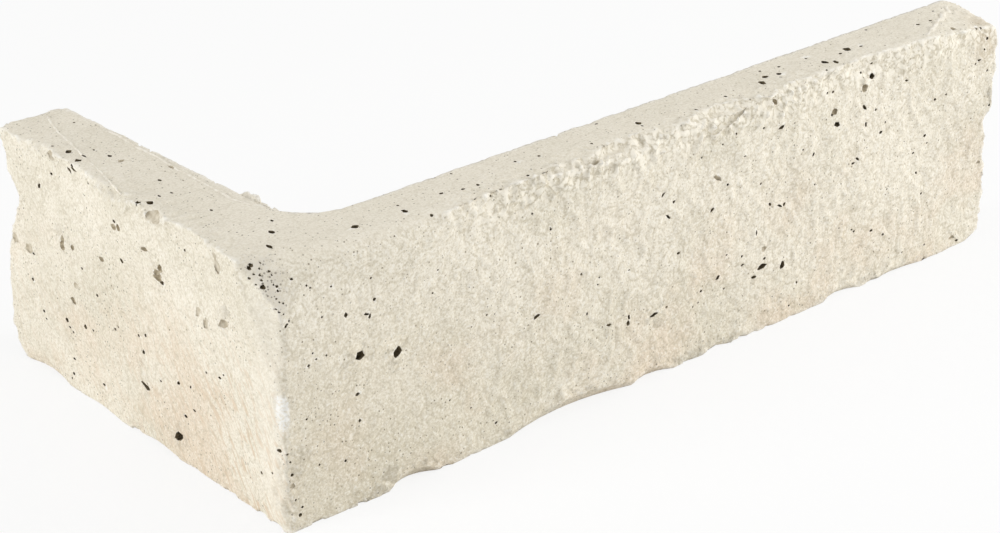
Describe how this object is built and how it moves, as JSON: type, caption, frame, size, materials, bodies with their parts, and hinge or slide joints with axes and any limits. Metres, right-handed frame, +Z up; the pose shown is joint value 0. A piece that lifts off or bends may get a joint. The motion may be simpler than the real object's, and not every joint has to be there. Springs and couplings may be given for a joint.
{
  "type": "brick veneer corner",
  "caption": "L-shaped cast brick veneer corner: rough pitted outside faces with worn, chipped edges, and flat coved backs that wrap and bond to the outside corner of a wall.",
  "frame": {"origin": "the wall's arris at bed level: the point of the bed face where the planes of the two backs meet", "axes": "+X along the long arm, +Y along the short arm, +Z up; the wall fills the quarter with x and y above 0"},
  "size_m": [0.2453, 0.1265, 0.066],
  "materials": {
    "cast_stone": "matt rough-cast, cream white"
  },
  "bodies": {
    "root": {"veneer_corner": "cast_stone"}
  },
  "joints": []
}
